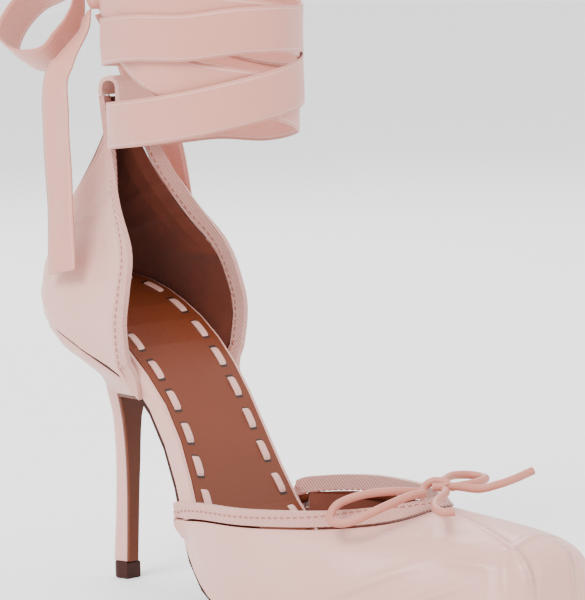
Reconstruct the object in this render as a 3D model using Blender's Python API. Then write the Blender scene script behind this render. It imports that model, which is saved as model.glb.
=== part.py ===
"""Lace-up high heel pump, a right shoe in satin with a square toe, a ribbon tie and a leather bow.

The sole pieces, the heel quarter and the vamp are all worked out from one footbed line.
X runs from the heel to the toe, Y to the inner side of the foot and Z up. Sizes are in
millimetres and become metres where a mesh is made.
"""
import math
from collections import namedtuple

import bmesh
import bpy
import numpy as np

MM = 0.001
NEAR = -1
FAR = 1
UP = np.array([0.0, 0.0, 1.0])

# Driving dimensions
LENGTH = 216.0            # footbed, from the back of the heel to the front of the toe
SEAT_HEIGHT = 109.8       # footbed above the floor at the back of the heel
BALL_WIDTH = 66.0         # footbed across the ball
HEEL_SETBACK = 16.4       # heel tip's middle, in front of the footbed's back end
HEEL_ROUND = 21.0         # radius of the footbed's back end in plan
TOE_CORNER = 9.0          # radius of the square toe's corners in plan
TOE_HEIGHT = 31.0         # top edge of the toe above the floor
GAP = 0.3                 # clearance between pieces that touch

FOOTBED_THICK = 1.2
BOARD_THICK = 6.0         # satin-covered board, from the footbed's top to its underside
SEAT_DEPTH = 12.6         # board and heel pad under the heel, from the footbed's top
RAND_OUT = 2.8            # board's edge outside the footbed
RIM_DROP = 0.2            # board's rim below the footbed's top
SOLE_THICK = 2.1
SKIVED_THICK = 0.7        # sole where it lies between the board and the heel
SOLE_INSET = 1.4          # sole's edge inside the edge of what lies on it
WALL = 1.5                # satin, stiffener and lining together
BINDING_WIDTH = 5.3
BINDING_THICK = 2.0

QUARTER_REACH = 54.5      # front foot of the heel quarter, from the footbed's back end
BREAST_REACH = 53.0       # front end of the heel at the sole, from the footbed's back end
PAD_REACH = 30.0          # full heel pad, from the footbed's back end
VAMP_REACH = 80.0         # back foot of the vamp, from the footbed's back end
TAB_TOP = 172.0           # top of the heel tab below its fold
TAB_WIDTH = 23.0
TUNNEL_GAP = 1.1          # room for the ribbon on each side inside the folded tab
TUNNEL_LENGTH = 24.0      # folded flap, from its top edge down
TIP_HEIGHT = 6.0
TIP_LENGTH = 8.2
TIP_WIDTH = 6.6
BREAST_THICK = 0.8

RIBBON_WIDTH = 16.0
RIBBON_THICK = 0.6
RIBBON_LAYER = 1.0        # step from one turn of the ribbon to the turn outside it
ANKLE_LENGTH = 71.8       # middle of the ribbon's innermost turn, back to front
ANKLE_WIDTH = 57.2        # middle of the ribbon's innermost turn, side to side
ANKLE_BACK = 27.5         # back of the turns, from the footbed's back end
BOW_CORD = 2.8            # leather cord of the vamp's bow

STACK = BOARD_THICK + GAP + SOLE_THICK
BACK = -HEEL_SETBACK
TOE = BACK + LENGTH
SHELL_OUT = RAND_OUT + GAP + WALL

Station = namedtuple("Station", "along rise near far")
# The footbed from heel to toe: place along LENGTH, height as a share of the heel's pitch,
# and the distances of its outer and inner edges from the middle as shares of BALL_WIDTH
STATIONS = (
    Station(0.000, 1.000, 0.327, 0.325),
    Station(0.060, 0.951, 0.327, 0.325),
    Station(0.102, 0.911, 0.327, 0.324),
    Station(0.144, 0.860, 0.317, 0.333),
    Station(0.185, 0.789, 0.305, 0.348),
    Station(0.227, 0.693, 0.280, 0.352),
    Station(0.269, 0.574, 0.258, 0.344),
    Station(0.310, 0.434, 0.273, 0.336),
    Station(0.352, 0.288, 0.339, 0.332),
    Station(0.394, 0.157, 0.408, 0.340),
    Station(0.435, 0.068, 0.470, 0.362),
    Station(0.477, 0.016, 0.515, 0.395),
    Station(0.514, 0.000, 0.538, 0.425),
    Station(0.569, 0.000, 0.548, 0.452),
    Station(0.727, 0.000, 0.500, 0.455),
    Station(0.806, 0.005, 0.440, 0.420),
    Station(0.884, 0.018, 0.370, 0.362),
    Station(0.949, 0.034, 0.325, 0.318),
    Station(1.000, 0.045, 0.300, 0.290),
)

Edge = namedtuple("Edge", "forward height half turn fall")
# The heel quarter's front edge from its foot to the tab's top: distance in front of the footbed's
# back end and height as shares of QUARTER_REACH and TAB_TOP, half width as a share of BALL_WIDTH,
# the angle that the wall turns in from straight back, and how much its lines run downwards
QUARTER_EDGE = (
    Edge(0.896, 0.444, 0.371, 0.0, 0.2),
    Edge(0.895, 0.473, 0.417, 0.0, 0.2),
    Edge(0.923, 0.549, 0.450, 2.0, 0.2),
    Edge(0.934, 0.610, 0.426, 5.0, 0.3),
    Edge(0.895, 0.694, 0.361, 12.0, 0.5),
    Edge(0.694, 0.783, 0.283, 32.0, 0.9),
    Edge(0.495, 0.902, 0.186, 60.0, 2.0),
    Edge(0.431, 1.000, 0.169, 70.0, 4.0),
)

Rim = namedtuple("Rim", "along height side")
# The vamp's topline from its outer foot round the throat to its inner foot: place along LENGTH,
# height above the floor as a share of THROAT_HEIGHT and distance to the side as a share of BALL_WIDTH
THROAT_HEIGHT = 41.0
VAMP_EDGE = (
    Rim(0.351, 0.873, -0.487),
    Rim(0.389, 0.902, -0.525),
    Rim(0.435, 0.920, -0.552),
    Rim(0.524, 0.920, -0.565),
    Rim(0.620, 0.934, -0.500),
    Rim(0.690, 0.948, -0.358),
    Rim(0.738, 0.968, -0.200),
    Rim(0.755, 0.985, -0.090),
    Rim(0.758, 0.990, 0.000),
    Rim(0.752, 0.990, 0.090),
    Rim(0.722, 0.982, 0.225),
    Rim(0.662, 0.975, 0.368),
    Rim(0.561, 0.972, 0.485),
    Rim(0.486, 0.966, 0.520),
    Rim(0.402, 0.934, 0.490),
    Rim(0.345, 0.875, 0.440),
)

HeelRing = namedtuple("HeelRing", "rise back front half")
# The heel's sections from the tip up: height as a share of HEEL_NECK, and the back, the front and
# the half width in shares of TIP_LENGTH, measured from the heel tip's middle
HEEL_NECK = 67.0
HEEL_RINGS = (
    HeelRing(0.000, -0.58, 0.40, 0.31),
    HeelRing(0.340, -0.33, 0.56, 0.33),
    HeelRing(0.645, -0.21, 0.66, 0.42),
    HeelRing(0.850, -0.24, 0.67, 0.56),
    HeelRing(1.000, -0.32, 0.76, 0.88),
)

Turn = namedtuple("Turn", "angle height layer")
# The ribbon's middle line round the ankle from one end of its bow to the other: angle in degrees
# from the front, growing over the inner side, height as a share of TAB_TOP, and the layer
RIBBON = (
    Turn(-536, 1.206, 8.6), Turn(-524, 1.210, 5.4), Turn(-512, 1.211, 2.6), Turn(-500, 1.209, 1.0),
    Turn(-485, 1.203, 1.0), Turn(-465, 1.188, 1.0), Turn(-445, 1.174, 1.0), Turn(-420, 1.160, 1.0),
    Turn(-390, 1.150, 1.0), Turn(-360, 1.135, 1.0), Turn(-330, 1.115, 1.0), Turn(-300, 1.099, 1.0),
    Turn(-270, 1.102, 1.0), Turn(-250, 1.117, 1.0), Turn(-230, 1.143, 1.0), Turn(-210, 1.166, 0.7),
    Turn(-180, 1.164, 0.1), Turn(-140, 1.149, 0.0), Turn(-105, 1.115, 0.0), Turn(-83, 1.065, 0.0),
    Turn(-60, 1.031, 0.0), Turn(-30, 1.012, 0.0), Turn(0, 0.999, 0.0), Turn(30, 0.977, 0.0),
    Turn(60, 0.960, 0.2), Turn(90, 0.945, 0.3), Turn(120, 0.948, 0.3), Turn(150, 0.940, 0.2),
    Turn(180, 0.938, 0.0), Turn(210, 0.940, 0.6), Turn(240, 0.947, 1.4), Turn(270, 0.956, 2.0),
    Turn(300, 0.971, 2.0), Turn(330, 0.991, 2.0), Turn(360, 1.010, 2.0), Turn(390, 1.027, 2.0),
    Turn(420, 1.045, 2.0), Turn(450, 1.070, 2.0), Turn(480, 1.093, 2.0), Turn(510, 1.103, 2.0),
    Turn(540, 1.104, 2.0), Turn(580, 1.110, 2.0), Turn(610, 1.118, 2.0), Turn(630, 1.122, 2.0),
    Turn(660, 1.121, 2.0), Turn(690, 1.131, 2.0), Turn(720, 1.132, 2.0), Turn(757, 1.130, 2.0),
    Turn(780, 1.147, 2.0), Turn(810, 1.185, 2.0), Turn(830, 1.216, 2.2), Turn(850, 1.235, 3.0),
    Turn(870, 1.238, 5.0), Turn(884, 1.230, 8.0),
)

Spot = namedtuple("Spot", "behind aside height")
# The ribbon bow's loops and ends, from the knot: distances behind it, to the inner side and up
KNOT = Spot(11.0, 0.0, 207.5)     # behind the ribbon's turns, aside and above the floor
LOOP_OUTER = ((-6.2, -4.8, 3), (-13, -3.3, 1.7), (-24.7, -7, -1.2), (-30.2, -12.9, -9.1),
              (-29.7, -17.6, -17.4), (-20.5, -17.5, -22.9), (-10.8, -13.9, -22), (-8, -8.5, -14),
              (-7, -5.4, -7), (-6.4, -4.6, -2))
LOOP_INNER = ((-3.6, 4.9, 3), (-6, 16, 8), (-8, 29, 8), (-9, 40, -2), (-8.6, 42, -13), (-7.4, 34, -20),
              (-6, 22, -15), (-3.8, 4.9, -2.6))
END_OUTER = ((-1.5, -5.4, -7.2), (1, -10, -13), (0.5, -18, -22), (-1.3, -21.5, -30), (-0.6, -22.5, -46),
             (1.5, -24, -66), (4, -26.5, -83), (6, -28.3, -96))
END_INNER = ((-3, 3.4, -7.2), (-1, 10, -18), (4, 15, -34), (9, 19, -52), (10, 23, -72), (9, 28, -96))
LOOP_TILT = (0.21, -0.84, 0.49)   # across the outer loop's ribbon; the inner loop mirrors it

SATIN = (0.72, 0.56, 0.52)
RIBBON_PINK = (0.70, 0.48, 0.43)
BINDING_PINK = (0.74, 0.56, 0.52)
FOOTBED_BROWN = (0.36, 0.16, 0.09)
SOLE_BROWN = (0.10, 0.04, 0.02)
LEATHER_PINK = (0.66, 0.42, 0.37)


# Small tools for curves and meshes

def smooth(xs, ys):
    """A curve through the points that never overshoots them, with level ends kept level."""
    xs = np.asarray(xs, float)
    ys = np.asarray(ys, float)
    step = np.diff(xs)
    slope = np.diff(ys) / step
    lean = np.zeros(len(xs))
    lean[0] = slope[0]
    lean[-1] = slope[-1]
    for i in range(1, len(xs) - 1):
        if slope[i - 1] * slope[i] > 0:
            a = 2 * step[i] + step[i - 1]
            b = step[i] + 2 * step[i - 1]
            lean[i] = (a + b) / (a / slope[i - 1] + b / slope[i])

    def value(x):
        i = int(np.clip(np.searchsorted(xs, x) - 1, 0, len(step) - 1))
        if x < xs[0] or x > xs[-1]:
            end = 0 if x < xs[0] else -1
            return ys[end] + lean[end] * (x - xs[end])
        t = (x - xs[i]) / step[i]
        return ((1 + 2 * t) * (1 - t) ** 2 * ys[i] + t * (1 - t) ** 2 * step[i] * lean[i]
                + t * t * (3 - 2 * t) * ys[i + 1] + t * t * (t - 1) * step[i] * lean[i + 1])

    return value


def unit(v):
    return v / max(np.linalg.norm(v), 1e-9)


def along_path(points, count, dense=12):
    """count points evenly spaced on the smooth curve through the given points."""
    p = np.asarray(points, float)
    p = np.vstack([2 * p[0] - p[1], p, 2 * p[-1] - p[-2]])
    fine = []
    for a, b, c, d in zip(p, p[1:], p[2:], p[3:]):
        for t in np.linspace(0, 1, dense, endpoint=False):
            fine.append(0.5 * (2 * b + (c - a) * t + (2 * a - 5 * b + 4 * c - d) * t * t
                               + (3 * b - a - 3 * c + d) * t ** 3))
    fine = np.array(fine + [p[-2]])
    far = np.concatenate([[0], np.cumsum(np.linalg.norm(np.diff(fine, axis=0), axis=1))])
    places = np.linspace(0, far[-1], count)
    return np.stack([np.interp(places, far, fine[:, k]) for k in range(3)], 1)


def material(name, colour, roughness, metallic=0.0):
    found = bpy.data.materials.get(name)
    if found:
        return found
    made = bpy.data.materials.new(name)
    made.use_nodes = True
    shader = made.node_tree.nodes["Principled BSDF"]
    shader.inputs["Base Color"].default_value = (*colour, 1)
    shader.inputs["Roughness"].default_value = roughness
    shader.inputs["Metallic"].default_value = metallic
    return made


def piece(name, points, faces, finish, smooth_shade=True):
    """One closed mesh in the scene, its faces turned outwards."""
    mesh = bpy.data.meshes.new(name)
    mesh.from_pydata([tuple(float(c) * MM for c in p) for p in points], [], faces)
    shape = bmesh.new()
    shape.from_mesh(mesh)
    bmesh.ops.recalc_face_normals(shape, faces=shape.faces)
    bmesh.ops.triangulate(shape, faces=shape.faces)
    shape.to_mesh(mesh)
    shape.free()
    if smooth_shade:
        mesh.shade_smooth()
        mesh.set_sharp_from_angle(angle=math.radians(35))
    mesh.materials.append(finish)
    made = bpy.data.objects.new(name, mesh)
    bpy.context.collection.objects.link(made)
    return made


def shell(name, grid, wall, finish, proud=0.0, ends=None):
    """A wall on a grid of points: its outer face lies proud of the grid, which faces outwards.

    ends gives the directions that the first and last columns face."""
    grid = np.asarray(grid, float)
    rows, columns = grid.shape[:2]
    across = np.gradient(grid, axis=0)
    along = np.gradient(grid, axis=1)
    normal = np.cross(along, across)
    normal /= np.maximum(np.linalg.norm(normal, axis=2, keepdims=True), 1e-9)
    if ends:
        normal[:, 0], normal[:, -1] = ends
    outer = (grid + normal * proud).reshape(-1, 3)
    inner = (grid + normal * (proud - wall)).reshape(-1, 3)
    count = rows * columns
    faces = []
    for i in range(rows - 1):
        for j in range(columns - 1):
            a = i * columns + j
            b = a + 1
            c = a + columns + 1
            d = a + columns
            faces.append((a, b, c, d))
            faces.append((count + d, count + c, count + b, count + a))
    rim = [j for j in range(columns)]
    rim += [i * columns + columns - 1 for i in range(1, rows)]
    rim += [(rows - 1) * columns + j for j in range(columns - 2, -1, -1)]
    rim += [i * columns for i in range(rows - 2, 0, -1)]
    for a, b in zip(rim, rim[1:] + rim[:1]):
        faces.append((b, a, count + a, count + b))
    return piece(name, np.vstack([outer, inner]), faces, finish)


def stack_rings(name, rings, finish):
    """A solid through closed rings of equal length, with flat ends."""
    size = len(rings[0])
    faces = []
    for base in (0, (len(rings) - 1) * size):
        for i in range((size - 1) // 2):
            quad = (base + i, base + i + 1, base + size - 2 - i, base + size - 1 - i)
            faces.append(tuple(dict.fromkeys(quad)))
    for k in range(len(rings) - 1):
        for i in range(size):
            j = (i + 1) % size
            faces.append((k * size + i, k * size + j, (k + 1) * size + j, (k + 1) * size + i))
    return piece(name, np.vstack(rings), faces, finish)


# The footbed line

PITCH = smooth([s.along for s in STATIONS], [s.rise for s in STATIONS])
NEAR_EDGE = smooth([s.along for s in STATIONS], [s.near for s in STATIONS])
FAR_EDGE = smooth([s.along for s in STATIONS], [s.far for s in STATIONS])


def footbed_height(x):
    return STACK + PITCH((x - BACK) / LENGTH) * (SEAT_HEIGHT - STACK)


def footbed_down(x):
    """The direction straight into the sole."""
    slope = footbed_height(x + 0.5) - footbed_height(x - 0.5)
    return unit(np.array([slope, 0.0, -1.0]))


def seat_share(x):
    """1 under the heel and 0 in front of it, with a soft step between."""
    t = np.clip((x - BACK - PAD_REACH) / (BREAST_REACH - PAD_REACH), 0, 1)
    return 1 - t * t * (3 - 2 * t)


def board_depth(x):
    return BOARD_THICK + (SEAT_DEPTH - BOARD_THICK) * seat_share(x)


def board_out(x):
    """The board's edge outside the footbed: a little less between the walls of the quarter."""
    t = np.clip((BACK + QUARTER_REACH + 1 - x) / 12, 0, 1)
    return RAND_OUT - 0.8 * t * t * (3 - 2 * t)


def sole_thick(x):
    return SOLE_THICK + (SKIVED_THICK - SOLE_THICK) * seat_share(x)


def sole_out(x):
    """The sole's edge outside the footbed: it reaches under the walls where it carries them."""
    t = np.clip((x - BACK - VAMP_REACH + 4) / 12, 0, 1)
    carried = max(seat_share(x), t * t * (3 - 2 * t))
    return RAND_OUT - SOLE_INSET + (SHELL_OUT - RAND_OUT) * carried


def edge(x, side, out):
    """Distance to the side of the outline that lies out beyond the footbed, at x."""
    share = min(max((x - BACK) / LENGTH, 0.0), 1.0)
    width = BALL_WIDTH * (NEAR_EDGE(share) if side == NEAR else FAR_EDGE(share)) + out
    heel = (x - BACK + out) / (HEEL_ROUND + out)
    if heel < 1:
        width *= math.sqrt(max(1 - (1 - heel) ** 2, 0))
    corner = TOE_CORNER + out
    left = TOE + out - x
    if left < corner:
        width -= corner - math.sqrt(max(corner ** 2 - (corner - left) ** 2, 0))
    return side * width


def sole_point(x, side, out, depth):
    """A point beside the footbed, depth below its top along the sole's own normal."""
    inside = min(max(x, BACK), TOE)
    down = footbed_down(inside)
    return np.array([x, edge(x, side, out), footbed_height(x)]) + down * depth


def steps(start, end, heel_end, toe_end):
    """Places from start to end, closer together round a round end."""
    heel = [start + HEEL_ROUND * (1 - math.cos(math.radians(a))) for a in (10, 22, 36, 52, 70)]
    toe = [end - TOE_CORNER * (1 - math.cos(math.radians(a))) for a in (80, 60, 40, 18)]
    first = start + HEEL_ROUND if heel_end else start
    last = end - TOE_CORNER if toe_end else end
    middle = np.linspace(first, last, max(int((last - first) / 7.0), 2))
    return np.concatenate([heel if heel_end else [], middle, toe if toe_end else []])


def sole_layer(name, profile, start, end, heel_end, toe_end, finish):
    """A layer of the sole. profile(x) gives (side, out, depth) round the section at x."""
    shares = (steps(start, end, heel_end, toe_end) - start) / (end - start)
    rings = []
    for share in shares:
        x_middle = start + share * (end - start)
        ring = []
        for side, out, depth in profile(x_middle):
            low = start - (out if heel_end else 0)
            high = end + (out if toe_end else 0)
            ring.append(sole_point(low + share * (high - low), side, out, depth))
        rings.append(np.array(ring))
    size = len(rings[0])
    faces = []
    for k in range(len(rings) - 1):
        for i in range(size):
            j = (i + 1) % size
            faces.append((k * size + i, k * size + j, (k + 1) * size + j, (k + 1) * size + i))
    for base in (0, (len(rings) - 1) * size):
        for i in range(size // 2 - 1):
            faces.append((base + i, base + i + 1, base + size - 2 - i, base + size - 1 - i))
    return piece(name, np.vstack(rings), faces, finish)


def mirrored(half):
    """A section from its outer half, listed from the top middle outwards and down."""
    return [(NEAR, out, depth) for out, depth in half] + [(FAR, out, depth) for out, depth in half[::-1]]


def footbed():
    def profile(x):
        return mirrored([(0.0, 0.0), (0.0, FOOTBED_THICK)])
    sole_layer("footbed", profile, BACK, TOE, True, True, material("footbed_leather", FOOTBED_BROWN, 0.5))


def insole_board():
    def profile(x):
        low = FOOTBED_THICK + GAP
        out = board_out(x)
        return mirrored([(GAP, low), (GAP, RIM_DROP), (0.6 * out, 2 * RIM_DROP),
                         (out, 0.42 * BOARD_THICK), (out - GAP, board_depth(x))])
    sole_layer("insole_board", profile, BACK, TOE, True, True, material("satin", SATIN, 0.4))


def outsole():
    def profile(x):
        top = board_depth(x) + GAP
        return mirrored([(sole_out(x), top), (sole_out(x), top + sole_thick(x))])
    sole_layer("outsole", profile, BACK, TOE, True, True, material("sole_leather", SOLE_BROWN, 0.5))


# The heel

def heel_outline(back, front, half, count=11):
    """A heel section seen from above: flat in front and round behind."""
    depth = min(half * 1.15, (front - back) * 0.7)
    ring = [(front, -half), (0.5 * (front + back + depth), -half)]
    for angle in np.linspace(-90, 90, count):
        a = math.radians(angle)
        ring.append((back + depth - depth * math.cos(a), half * math.sin(a)))
    return ring + [(0.5 * (front + back + depth), half), (front, half)]


def heel_top(count=11):
    """The heel's upper outline under the sole, from the outer corner round the back."""
    front = BACK + BREAST_REACH
    reach = BREAST_REACH - 6

    def place(x, side, inset):
        inside = max(x, BACK)
        low = board_depth(inside) + GAP + sole_thick(inside) + GAP
        return sole_point(x, side, sole_out(inside) - inset, low)

    ring = [place(front, NEAR, 2.5), place(front - 4, NEAR, 1.0)]
    out = sole_out(BACK)
    for angle in np.linspace(-90, 90, count):
        x = BACK - out + (reach + out) * (1 - math.cos(math.radians(angle))) + 0.05
        ring.append(place(x, NEAR if angle < 0 else FAR, 0.0))
    return ring + [place(front - 4, FAR, 1.0), place(front, FAR, 2.5)]


def heel_rings():
    base = TIP_HEIGHT + GAP
    rings = []
    rises = [r.rise for r in HEEL_RINGS]
    curves = [smooth(rises, [getattr(r, n) for r in HEEL_RINGS]) for n in ("back", "front", "half")]
    for rise in np.linspace(0, 1, 14):
        back, front, half = (c(rise) * TIP_LENGTH for c in curves)
        z = base + rise * (HEEL_NECK - base)
        rings.append(np.array([(x, y, z) for x, y in heel_outline(back, front, half)]))
    top = np.array(heel_top())
    neck = rings[-1]
    front_share = np.clip((top[:, :1] - BACK) / BREAST_REACH, 0, 1) ** 2
    rise = top[:, 2:3] - HEEL_NECK
    first = neck + UP * rise * (0.50 - 0.15 * front_share)
    last = top - UP * rise * 0.42 * (1 - front_share) - np.array([6.0, 0, 0.6]) * front_share
    for t in np.linspace(0, 1, 10)[1:]:
        rings.append((1 - t) ** 3 * neck + 3 * t * (1 - t) ** 2 * first + 3 * t * t * (1 - t) * last
                     + t ** 3 * top)
    return rings


def heel():
    stack_rings("heel", heel_rings(), material("satin", SATIN, 0.4))


def heel_breast():
    """The leather that faces the front of the heel, from the tip to the sole."""
    inset = 0.4
    rings = heel_rings()
    front = np.array([(ring[0] + ring[-1]) / 2 for ring in rings])
    run = np.gradient(front, axis=0)
    strips = []
    for ring, t in zip(rings, run):
        away = unit(np.array([t[2], 0.0, -t[0]]))
        near = ring[0] + away * GAP + np.array([0, inset, 0])
        far = ring[-1] + away * GAP - np.array([0, inset, 0])
        strips.append(np.array([near, near + away * BREAST_THICK, far + away * BREAST_THICK, far]))
    stack_rings("heel_breast", strips, material("breast_leather", FOOTBED_BROWN, 0.5))


def heel_tip():
    half = TIP_WIDTH / 2
    rings = []
    for z, inset in ((0, 0.4), (0.5, 0), (TIP_HEIGHT - 0.4, 0), (TIP_HEIGHT, 0.4)):
        outline = heel_outline(-TIP_LENGTH / 2 + inset, TIP_LENGTH / 2 - inset, half - inset)
        rings.append(np.array([(x, y, z) for x, y in outline]))
    stack_rings("heel_tip", rings, material("tip_rubber", SOLE_BROWN, 0.6))


# The heel quarter with its tab

def quarter_bottom(q):
    """The quarter's lower edge: q from -1 at the outer foot, round the back, to 1 at the inner foot."""
    foot = BACK + QUARTER_REACH
    front = foot + (BINDING_WIDTH + 4 * GAP) * footbed_down(foot)[2]
    low = BACK - SHELL_OUT
    x = low + (front - low) * (1 - math.cos(math.radians(90 * abs(q)))) + 0.02
    return sole_point(x, NEAR if q < 0 else FAR, SHELL_OUT, board_depth(max(x, BACK)))


def quarter_edge(side, count):
    """The front edge of the quarter on one side, with the direction into the wall at each point."""
    foot_x = BACK + QUARTER_REACH
    foot = sole_point(foot_x, side, SHELL_OUT, board_depth(foot_x))
    points = [foot]
    for row in QUARTER_EDGE:
        drift = abs(foot[1]) - QUARTER_EDGE[0].half * BALL_WIDTH + 0.4
        drift *= float(np.clip(1 - (row.height - 0.42) / 0.22, 0, 1))
        points.append([BACK + row.forward * QUARTER_REACH, side * (row.half * BALL_WIDTH + drift),
                       row.height * TAB_TOP])
    line = along_path(points, count)
    heights = [foot[2]] + [row.height * TAB_TOP for row in QUARTER_EDGE]
    turn = smooth(heights, [0] + [row.turn for row in QUARTER_EDGE])
    fall = smooth(heights, [0.2] + [row.fall for row in QUARTER_EDGE])
    ways = []
    falls = []
    tangent = np.gradient(line, axis=0)
    sole_way = unit(quarter_bottom(side * 0.9) - foot)
    for k in range(count):
        a = math.radians(turn(line[k, 2]))
        way = np.array([-math.cos(a), -side * math.sin(a), 0])
        t = unit(tangent[k])
        way = unit(way - t * np.dot(way, t))
        share = min(k / (count * 0.12), 1)
        ways.append(unit(sole_way * (1 - share) + way * share))
        falls.append(fall(line[k, 2]))
    return line, np.array(ways), np.array(falls)


def bezier(a, b, c, d, count):
    t = np.linspace(0, 1, count)[:, None]
    return (1 - t) ** 3 * a + 3 * t * (1 - t) ** 2 * b + 3 * t * t * (1 - t) * c + t ** 3 * d


def quarter():
    count = 19
    across = 7
    rows = 11
    sides = {}
    feet = {}
    for side in (NEAR, FAR):
        line, ways, falls = quarter_edge(side, 60)
        inner = line + ways * (BINDING_WIDTH + 1.3 * GAP)
        pick = np.linspace(5, 59, count).astype(int)
        sides[side] = (inner[pick], ways[pick], falls[pick])
        feet[side] = along_path(inner[:6], rows)
    near_top, near_way, near_fall = sides[NEAR]
    far_top, far_way, far_fall = sides[FAR]
    bridge = np.linspace(0, 1, across + 2)[1:-1, None]
    middle = near_top[-1] * (1 - bridge) + far_top[-1] * bridge
    bow = np.sin(np.pi * bridge[:, 0]) * 1.2
    middle[:, 0] -= bow
    top = np.vstack([near_top, middle, far_top[::-1]])
    down = np.tile(-UP, (across, 1))
    ways = np.vstack([near_way, down, far_way[::-1]])
    falls = np.concatenate([near_fall, np.full(across, 9.0), far_fall[::-1]])
    total = len(top)
    grid = []
    for j in range(total):
        q = -1 + 2 * j / (total - 1)
        low = quarter_bottom(q)
        away = unit(np.array([low[0] - (BACK + HEEL_ROUND), low[1], 0]))
        reach = np.linalg.norm(top[j] - low)
        lift = unit(UP + away * 0.30)
        fall_way = unit(ways[j] - UP * falls[j])
        grid.append(bezier(low, low + lift * reach * 0.36, top[j] + fall_way * reach * 0.30, top[j], rows))
    grid[0] = feet[NEAR]
    grid[-1] = feet[FAR]
    shell("quarter", np.array(grid)[::-1].transpose(1, 0, 2), WALL, material("satin", SATIN, 0.4))


def quarter_binding(name, side):
    line, ways, _ = quarter_edge(side, 34)
    widths = np.array([0, 0.5, 1]) * BINDING_WIDTH
    grid = np.array([line + ways * w for w in widths])
    if side == FAR:
        grid = grid[::-1]
    proud = BINDING_THICK - WALL
    shell(name, grid, BINDING_THICK, material("binding", BINDING_PINK, 0.6), proud)


def tab_fold():
    """The top of the tab, folded over to the front as a tunnel for the ribbon."""
    last = QUARTER_EDGE[-1]
    before = QUARTER_EDGE[-2]
    lean = (last.forward - before.forward) * QUARTER_REACH / ((last.height - before.height) * TAB_TOP)
    half = TAB_WIDTH / 2
    grid = []
    for y in np.linspace(-half, half, 7):
        back = BACK + last.forward * QUARTER_REACH - 1.2 * (1 - (y / half) ** 2) + WALL / 2
        curve = 1 - math.sqrt(1 - (2 * y / ANKLE_WIDTH) ** 2)
        front = BACK + ANKLE_BACK + ANKLE_LENGTH / 2 * curve + RIBBON_THICK / 2 + TUNNEL_GAP + WALL / 2
        radius = (front - back) / 2
        base = TAB_TOP + GAP
        rise = TUNNEL_LENGTH * 0.12
        route = [(back, y, base), (back + lean * rise * 0.5, y, base + rise * 0.5)]
        for angle in range(180, -1, -30):
            a = math.radians(angle)
            route.append((back + radius + radius * math.cos(a), y, base + rise + 3.0 * math.sin(a)))
        for share in (0.25, 0.5, 0.75, 1.0):
            route.append((front, y, base + rise - (TUNNEL_LENGTH - 3.0) * share))
        grid.append(route)
    shell("tab_fold", np.array(grid)[::-1], WALL, material("satin", SATIN, 0.4), WALL / 2)


# The vamp

def vamp_bottom(count):
    """The vamp's lower edge, from the outer foot round the toe to the inner foot."""
    foot = BACK + VAMP_REACH
    start = foot - (BINDING_WIDTH + 4 * GAP) * footbed_down(foot)[2]
    end = TOE + SHELL_OUT
    shares = 1 - np.cos(np.linspace(0, math.pi / 2, 60))
    near = [sole_point(start + (end - start) * s, NEAR, SHELL_OUT, BOARD_THICK) for s in 1 - shares[::-1]]
    far = [sole_point(start + (end - start) * s, FAR, SHELL_OUT, BOARD_THICK) for s in 1 - shares]
    line = np.vstack([near, far])
    run = np.concatenate([[0], np.cumsum(np.linalg.norm(np.diff(line, axis=0), axis=1))])
    places = np.linspace(0, run[-1], count)
    return np.stack([np.interp(places, run, line[:, k]) for k in range(3)], 1)


def vamp_edge(count):
    """The vamp's topline with the direction into the wall at each point."""
    foot_x = BACK + VAMP_REACH
    points = [sole_point(foot_x, NEAR, SHELL_OUT, BOARD_THICK)]
    for row in VAMP_EDGE:
        points.append([BACK + row.along * LENGTH, row.side * BALL_WIDTH, row.height * THROAT_HEIGHT])
    points.append(sole_point(foot_x, FAR, SHELL_OUT, BOARD_THICK))
    line = along_path(points, count)
    tangent = np.gradient(line, axis=0)
    ways = []
    for k in range(count):
        t = unit(tangent[k])
        throat = math.exp(-((line[k, 1] / (0.30 * BALL_WIDTH)) ** 2))
        front = max(0.0, min(1.0, (line[k, 0] - BACK - 0.6 * LENGTH) / (0.16 * LENGTH)))
        share = throat * front
        way = np.array([0.9 * share, 0.0, -(1 - share) - 0.42 * share])
        way[1] = math.copysign(0.45 * front * (1 - throat), line[k, 1])
        way = unit(way - t * np.dot(way, t))
        end = min(k, count - 1 - k) / (count * 0.06)
        if end < 1:
            side = NEAR if k < count / 2 else FAR
            ahead = sole_point(foot_x + 6, side, SHELL_OUT, BOARD_THICK)
            sole_way = unit(ahead - sole_point(foot_x, side, SHELL_OUT, BOARD_THICK))
            way = unit(sole_way * (1 - end) + way * end)
        ways.append(way)
    return line, np.array(ways)


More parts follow.
